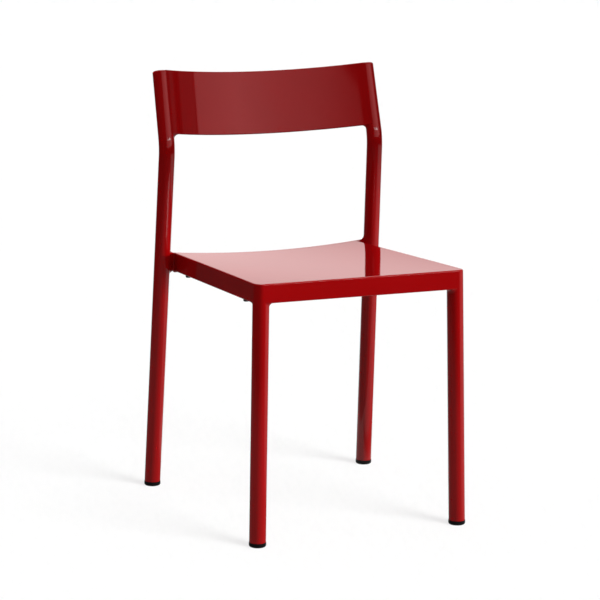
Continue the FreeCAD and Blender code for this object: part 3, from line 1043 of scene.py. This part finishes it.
def make_camera():
    """The camera where the photograph was taken from."""
    forward = Vector((
        -math.sin(CAMERA_YAW) * math.cos(CAMERA_PITCH),
        math.cos(CAMERA_YAW) * math.cos(CAMERA_PITCH),
        -math.sin(CAMERA_PITCH),
    ))
    right = Vector((math.cos(CAMERA_YAW), math.sin(CAMERA_YAW), 0))
    up = right.cross(forward)
    rolled_right = right * math.cos(CAMERA_ROLL) + up * math.sin(CAMERA_ROLL)
    rolled_up = up * math.cos(CAMERA_ROLL) - right * math.sin(CAMERA_ROLL)
    data = bpy.data.cameras.new("camera")
    data.lens = CAMERA_LENS
    data.sensor_width = SENSOR_WIDTH
    camera = bpy.data.objects.new("camera", data)
    turn = Matrix((rolled_right, rolled_up, -forward)).transposed().to_4x4()
    camera.matrix_world = Matrix.Translation(CAMERA_TARGET - forward * CAMERA_DISTANCE) @ turn
    bpy.context.scene.collection.objects.link(camera)
    bpy.context.scene.camera = camera


def direction(azimuth, elevation):
    """A unit vector. Azimuth 0 is in front of the chair and 90 on its right, in degrees."""
    turn = math.radians(azimuth)
    rise = math.radians(elevation)
    return Vector((math.sin(turn) * math.cos(rise), -math.cos(turn) * math.cos(rise), math.sin(rise)))


def make_stage_object(name, points, faces):
    """An object of the studio."""
    mesh = bpy.data.meshes.new(name)
    mesh.from_pydata(points, [], faces)
    item = bpy.data.objects.new(name, mesh)
    bpy.context.scene.collection.objects.link(item)
    return item


def hide_from(item, rays):
    for ray in rays:
        setattr(item, f"visible_{ray}", False)


def sun_lamp(name, azimuth, elevation, spread, level):
    """A distant soft lamp that reflections don't show."""
    data = bpy.data.lights.new(name, "SUN")
    data.angle = math.radians(spread)
    data.energy = level * math.pi
    lamp = bpy.data.objects.new(name, data)
    lamp.location = CHAIR_MIDDLE + direction(azimuth, elevation) * FLAT_DISTANCE
    lamp.rotation_euler = direction(azimuth, elevation).to_track_quat("Z", "Y").to_euler()
    lamp.visible_glossy = False
    bpy.context.scene.collection.objects.link(lamp)
    return lamp


def light_group(name, objects):
    """A collection that limits a lamp to some objects."""
    group = bpy.data.collections.new(name)
    for item in objects:
        group.objects.link(item)
    return group


def top_light():
    """A high soft light for the chair, which leaves the floor out."""
    lamp = sun_lamp("top_light", *TOP_LIGHT)
    group = light_group("not_lit_from_above", [bpy.data.objects["floor"]])
    group.collection_objects[0].light_linking.link_state = "EXCLUDE"
    lamp.light_linking.receiver_collection = group


def foot_light():
    """A light for the floor alone, which draws the short shadows behind the feet."""
    lamp = sun_lamp("foot_light", *FOOT_LIGHT)
    tubes = [item for item in bpy.data.objects if any(word in item.name for word in FOOT_SHADOW_NAMES)]
    lamp.light_linking.receiver_collection = light_group("lit_floor", [bpy.data.objects["floor"]])
    lamp.light_linking.blocker_collection = light_group("feet_and_tubes", tubes)


def white_rays(nodes, links):
    """1 for the rays that should see the white studio, 0 for the others."""
    path = nodes.new("ShaderNodeLightPath")
    total = path.outputs["Is Camera Ray"]
    for name in ("Is Glossy Ray", "Is Transmission Ray"):
        node = nodes.new("ShaderNodeMath")
        node.operation = "MAXIMUM"
        links.new(total, node.inputs[0])
        links.new(path.outputs[name], node.inputs[1])
        total = node.outputs[0]
    return total


def mapped(nodes, links, source, low, high):
    """The source, which runs from 0 to 1, made to run from low to high."""
    node = nodes.new("ShaderNodeMapRange")
    node.inputs["To Min"].default_value = low
    node.inputs["To Max"].default_value = high
    links.new(source, node.inputs["Value"])
    return node.outputs[0]


def make_floor():
    """A white floor that keeps the chair's faint shadow."""
    corners = [(x * FLOOR_SIZE, y * FLOOR_SIZE, 0) for x, y in SQUARE]
    floor = make_stage_object("floor", corners, [(0, 1, 2, 3)])
    material = bpy.data.materials.new("white_floor")
    nodes, links, shader = node_group(material)
    shader.inputs["Base Color"].default_value = (*FLOOR_COLOR, 1)
    shader.inputs["Roughness"].default_value = 1.0
    shader.inputs["Specular IOR Level"].default_value = 0.0
    shader.inputs["Emission Color"].default_value = (1, 1, 1, 1)
    glow = mapped(nodes, links, white_rays(nodes, links), 0.0, FLOOR_GLOW)
    links.new(glow, shader.inputs["Emission Strength"])
    floor.data.materials.append(material)


def make_world():
    """A white studio around the chair, dimmer as a light than as a background."""
    world = bpy.data.worlds.new("studio")
    bpy.context.scene.world = world
    world.use_nodes = True
    nodes = world.node_tree.nodes
    links = world.node_tree.links
    background = nodes["Background"]
    background.inputs["Color"].default_value = (1, 1, 1, 1)
    level = mapped(nodes, links, white_rays(nodes, links), WORLD_LIGHT, 1.0)
    links.new(level, background.inputs["Strength"])


def make_flat(name, points, faces, glows, tint=(1, 1, 1)):
    """A flat of the studio that only reflections show, with a glow at each of its points."""
    flat = make_stage_object(name, points, faces)
    flat.data.attributes.new("glow", "FLOAT", "POINT").data.foreach_set("value", glows)
    material = bpy.data.materials.new(name)
    nodes, links, shader = node_group(material)
    shader.inputs["Base Color"].default_value = (0, 0, 0, 1)
    shader.inputs["Specular IOR Level"].default_value = 0.0
    shader.inputs["Emission Color"].default_value = (*tint, 1)
    level = nodes.new("ShaderNodeAttribute")
    level.attribute_name = "glow"
    links.new(level.outputs["Fac"], shader.inputs["Emission Strength"])
    flat.data.materials.append(material)
    hide_from(flat, ("camera", "diffuse", "transmission", "volume_scatter", "shadow"))


def wall_flat(name, farness, stops, tint):
    """A curved flat around the chair, through its stops."""
    points = []
    glows = []
    for first, second in zip(stops, stops[1:]):
        count = max(1, round((second[0] - first[0]) / FLAT_STEP))
        for k in range(count + (second is stops[-1])):
            azimuth, low, high, glow = (a + (b - a) * k / count for a, b in zip(first, second))
            for elevation in (low, high):
                rise = Vector((0, 0, slope(elevation)))
                points.append(CHAIR_MIDDLE + (direction(azimuth, 0) + rise) * (FLAT_DISTANCE * farness))
                glows.append(glow)
    faces = [(k, k + 2, k + 3, k + 1) for k in range(0, len(points) - 2, 2)]
    make_flat(name, points, faces, glows, tint)


def sector_share(azimuth, middle, half_width):
    """1 inside a sector of the floor, 0 outside, with a soft border."""
    away = abs((azimuth - middle + 180) % 360 - 180)
    return min(1.0, max(0.0, (half_width - away) / SECTOR_BORDER + 0.5))


def floor_flat():
    """The disc on the floor, through its stops."""
    points = []
    glows = []
    for radius, front, behind, right in FLOOR_STOPS:
        for k in range(FLOOR_FLAT_SIDES):
            azimuth = 360 * k / FLOOR_FLAT_SIDES
            points.append(direction(azimuth, 0) * radius + Vector((0, 0, FLOOR_FLAT_LIFT)))
            glow = front + (behind - front) * sector_share(azimuth, *BEHIND_SECTOR)
            glows.append(glow + (right - front) * sector_share(azimuth, *RIGHT_SECTOR))
    faces = []
    for start in range(0, FLOOR_FLAT_SIDES * (len(FLOOR_STOPS) - 1), FLOOR_FLAT_SIDES):
        outer = start + FLOOR_FLAT_SIDES
        for k in range(FLOOR_FLAT_SIDES):
            after = (k + 1) % FLOOR_FLAT_SIDES
            faces.append((start + k, start + after, outer + after, outer + k))
    make_flat("floor_reflection", points, faces, glows)


def side_gobo():
    """A board that keeps the side light off the backrest."""
    side = direction(SIDE_AZIMUTH, 0)
    across = Vector((side.y, -side.x, 0))
    low_edge = side * GOBO_DISTANCE + Vector((0, 0, GOBO_EDGE + GOBO_DISTANCE * slope(SIDE_ELEVATION)))
    corners = []
    for x, z in SQUARE:
        corners.append(low_edge + across * (GOBO_HALF_WIDTH * x) + Vector((0, 0, GOBO_HEIGHT * (z + 1) / 2)))
    gobo = make_stage_object("side_gobo", corners, [(0, 1, 2, 3)])
    hide_from(gobo, ("camera", "diffuse", "transmission", "volume_scatter", "glossy"))


def light_chair():
    """Lamps for the light, and flats for what the glossy coat reflects."""
    sun_lamp("side_light", *SIDE_LIGHT)
    top_light()
    foot_light()
    side_gobo()
    floor_flat()
    for name, (farness, stops, tint) in WALL_FLATS.items():
        wall_flat(name, farness, stops, tint)


dress_chair()
make_camera()
make_floor()
make_world()
light_chair()
bpy.context.scene.view_settings.view_transform = "Standard"
